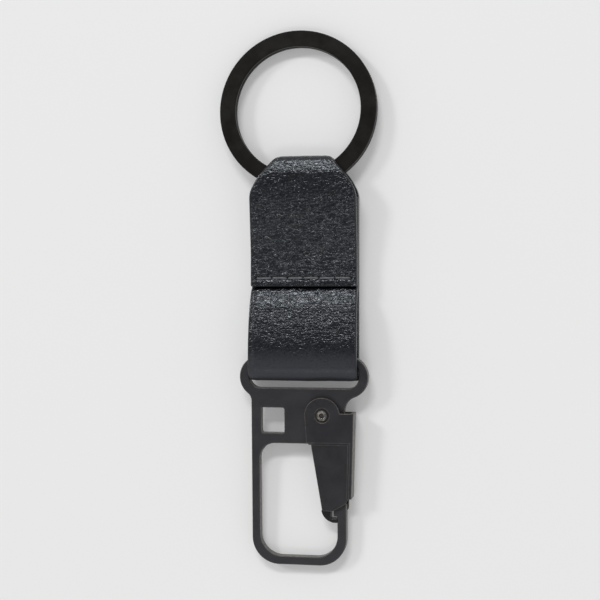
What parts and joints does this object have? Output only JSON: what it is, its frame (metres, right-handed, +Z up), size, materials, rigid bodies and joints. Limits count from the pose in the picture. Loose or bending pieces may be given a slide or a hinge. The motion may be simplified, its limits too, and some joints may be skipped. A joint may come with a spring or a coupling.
{
  "type": "key organiser",
  "caption": "Black leather key organiser: folded leather strap with a split ring at one end and a sprung sling hook at the other.",
  "frame": {"origin": "on the surface that it lies on, under the middle of its outline", "axes": "+X across the strap, +Y from the hook to the split ring, +Z up out of the strap's front"},
  "size_m": [0.03, 0.1006, 0.0054],
  "materials": {
    "leather": "fine pebbled grain, semi-matte, painted edges",
    "thread": "waxed thread",
    "ring_black": "satin black plating",
    "clip_black": "satin black coating",
    "gate_black": "satin black coating",
    "rivet_black": "satin black plating, worn bright on its rim",
    "spring_steel": "bare spring wire"
  },
  "bodies": {
    "strap": {"strap": "leather", "stitch_thread_front": "thread", "stitch_thread_back": "thread"},
    "ring": {"split_ring": "ring_black"},
    "clip": {"clip_frame": "clip_black", "gate_rivet": "rivet_black", "gate_spring": "spring_steel"},
    "gate": {"gate_channel": "gate_black", "gate_nose": "gate_black"}
  },
  "joints": [
    {"name": "ring_flex", "type": "hinge", "parent": "strap", "child": "ring", "pos_m": [0.0013, 0.0183, 0.0021], "axis": [1, 0, 0], "range_deg": [-45, 60], "deforming": ["strap"]},
    {"name": "clip_swing", "type": "hinge", "parent": "strap", "child": "clip", "pos_m": [0.0013, -0.01183, 0.0027], "axis": [1, 0, 0], "range_deg": [-120, 120]},
    {"name": "gate_pivot", "type": "hinge", "parent": "clip", "child": "gate", "pos_m": [0.00498, -0.02193, 0.00231], "axis": [0, -0.039, 0.9992], "range_deg": [-30, 0], "stiffness_Nm_per_rad": 0.02, "springref_deg": 51.57, "deforming": ["gate_spring"]}
  ]
}
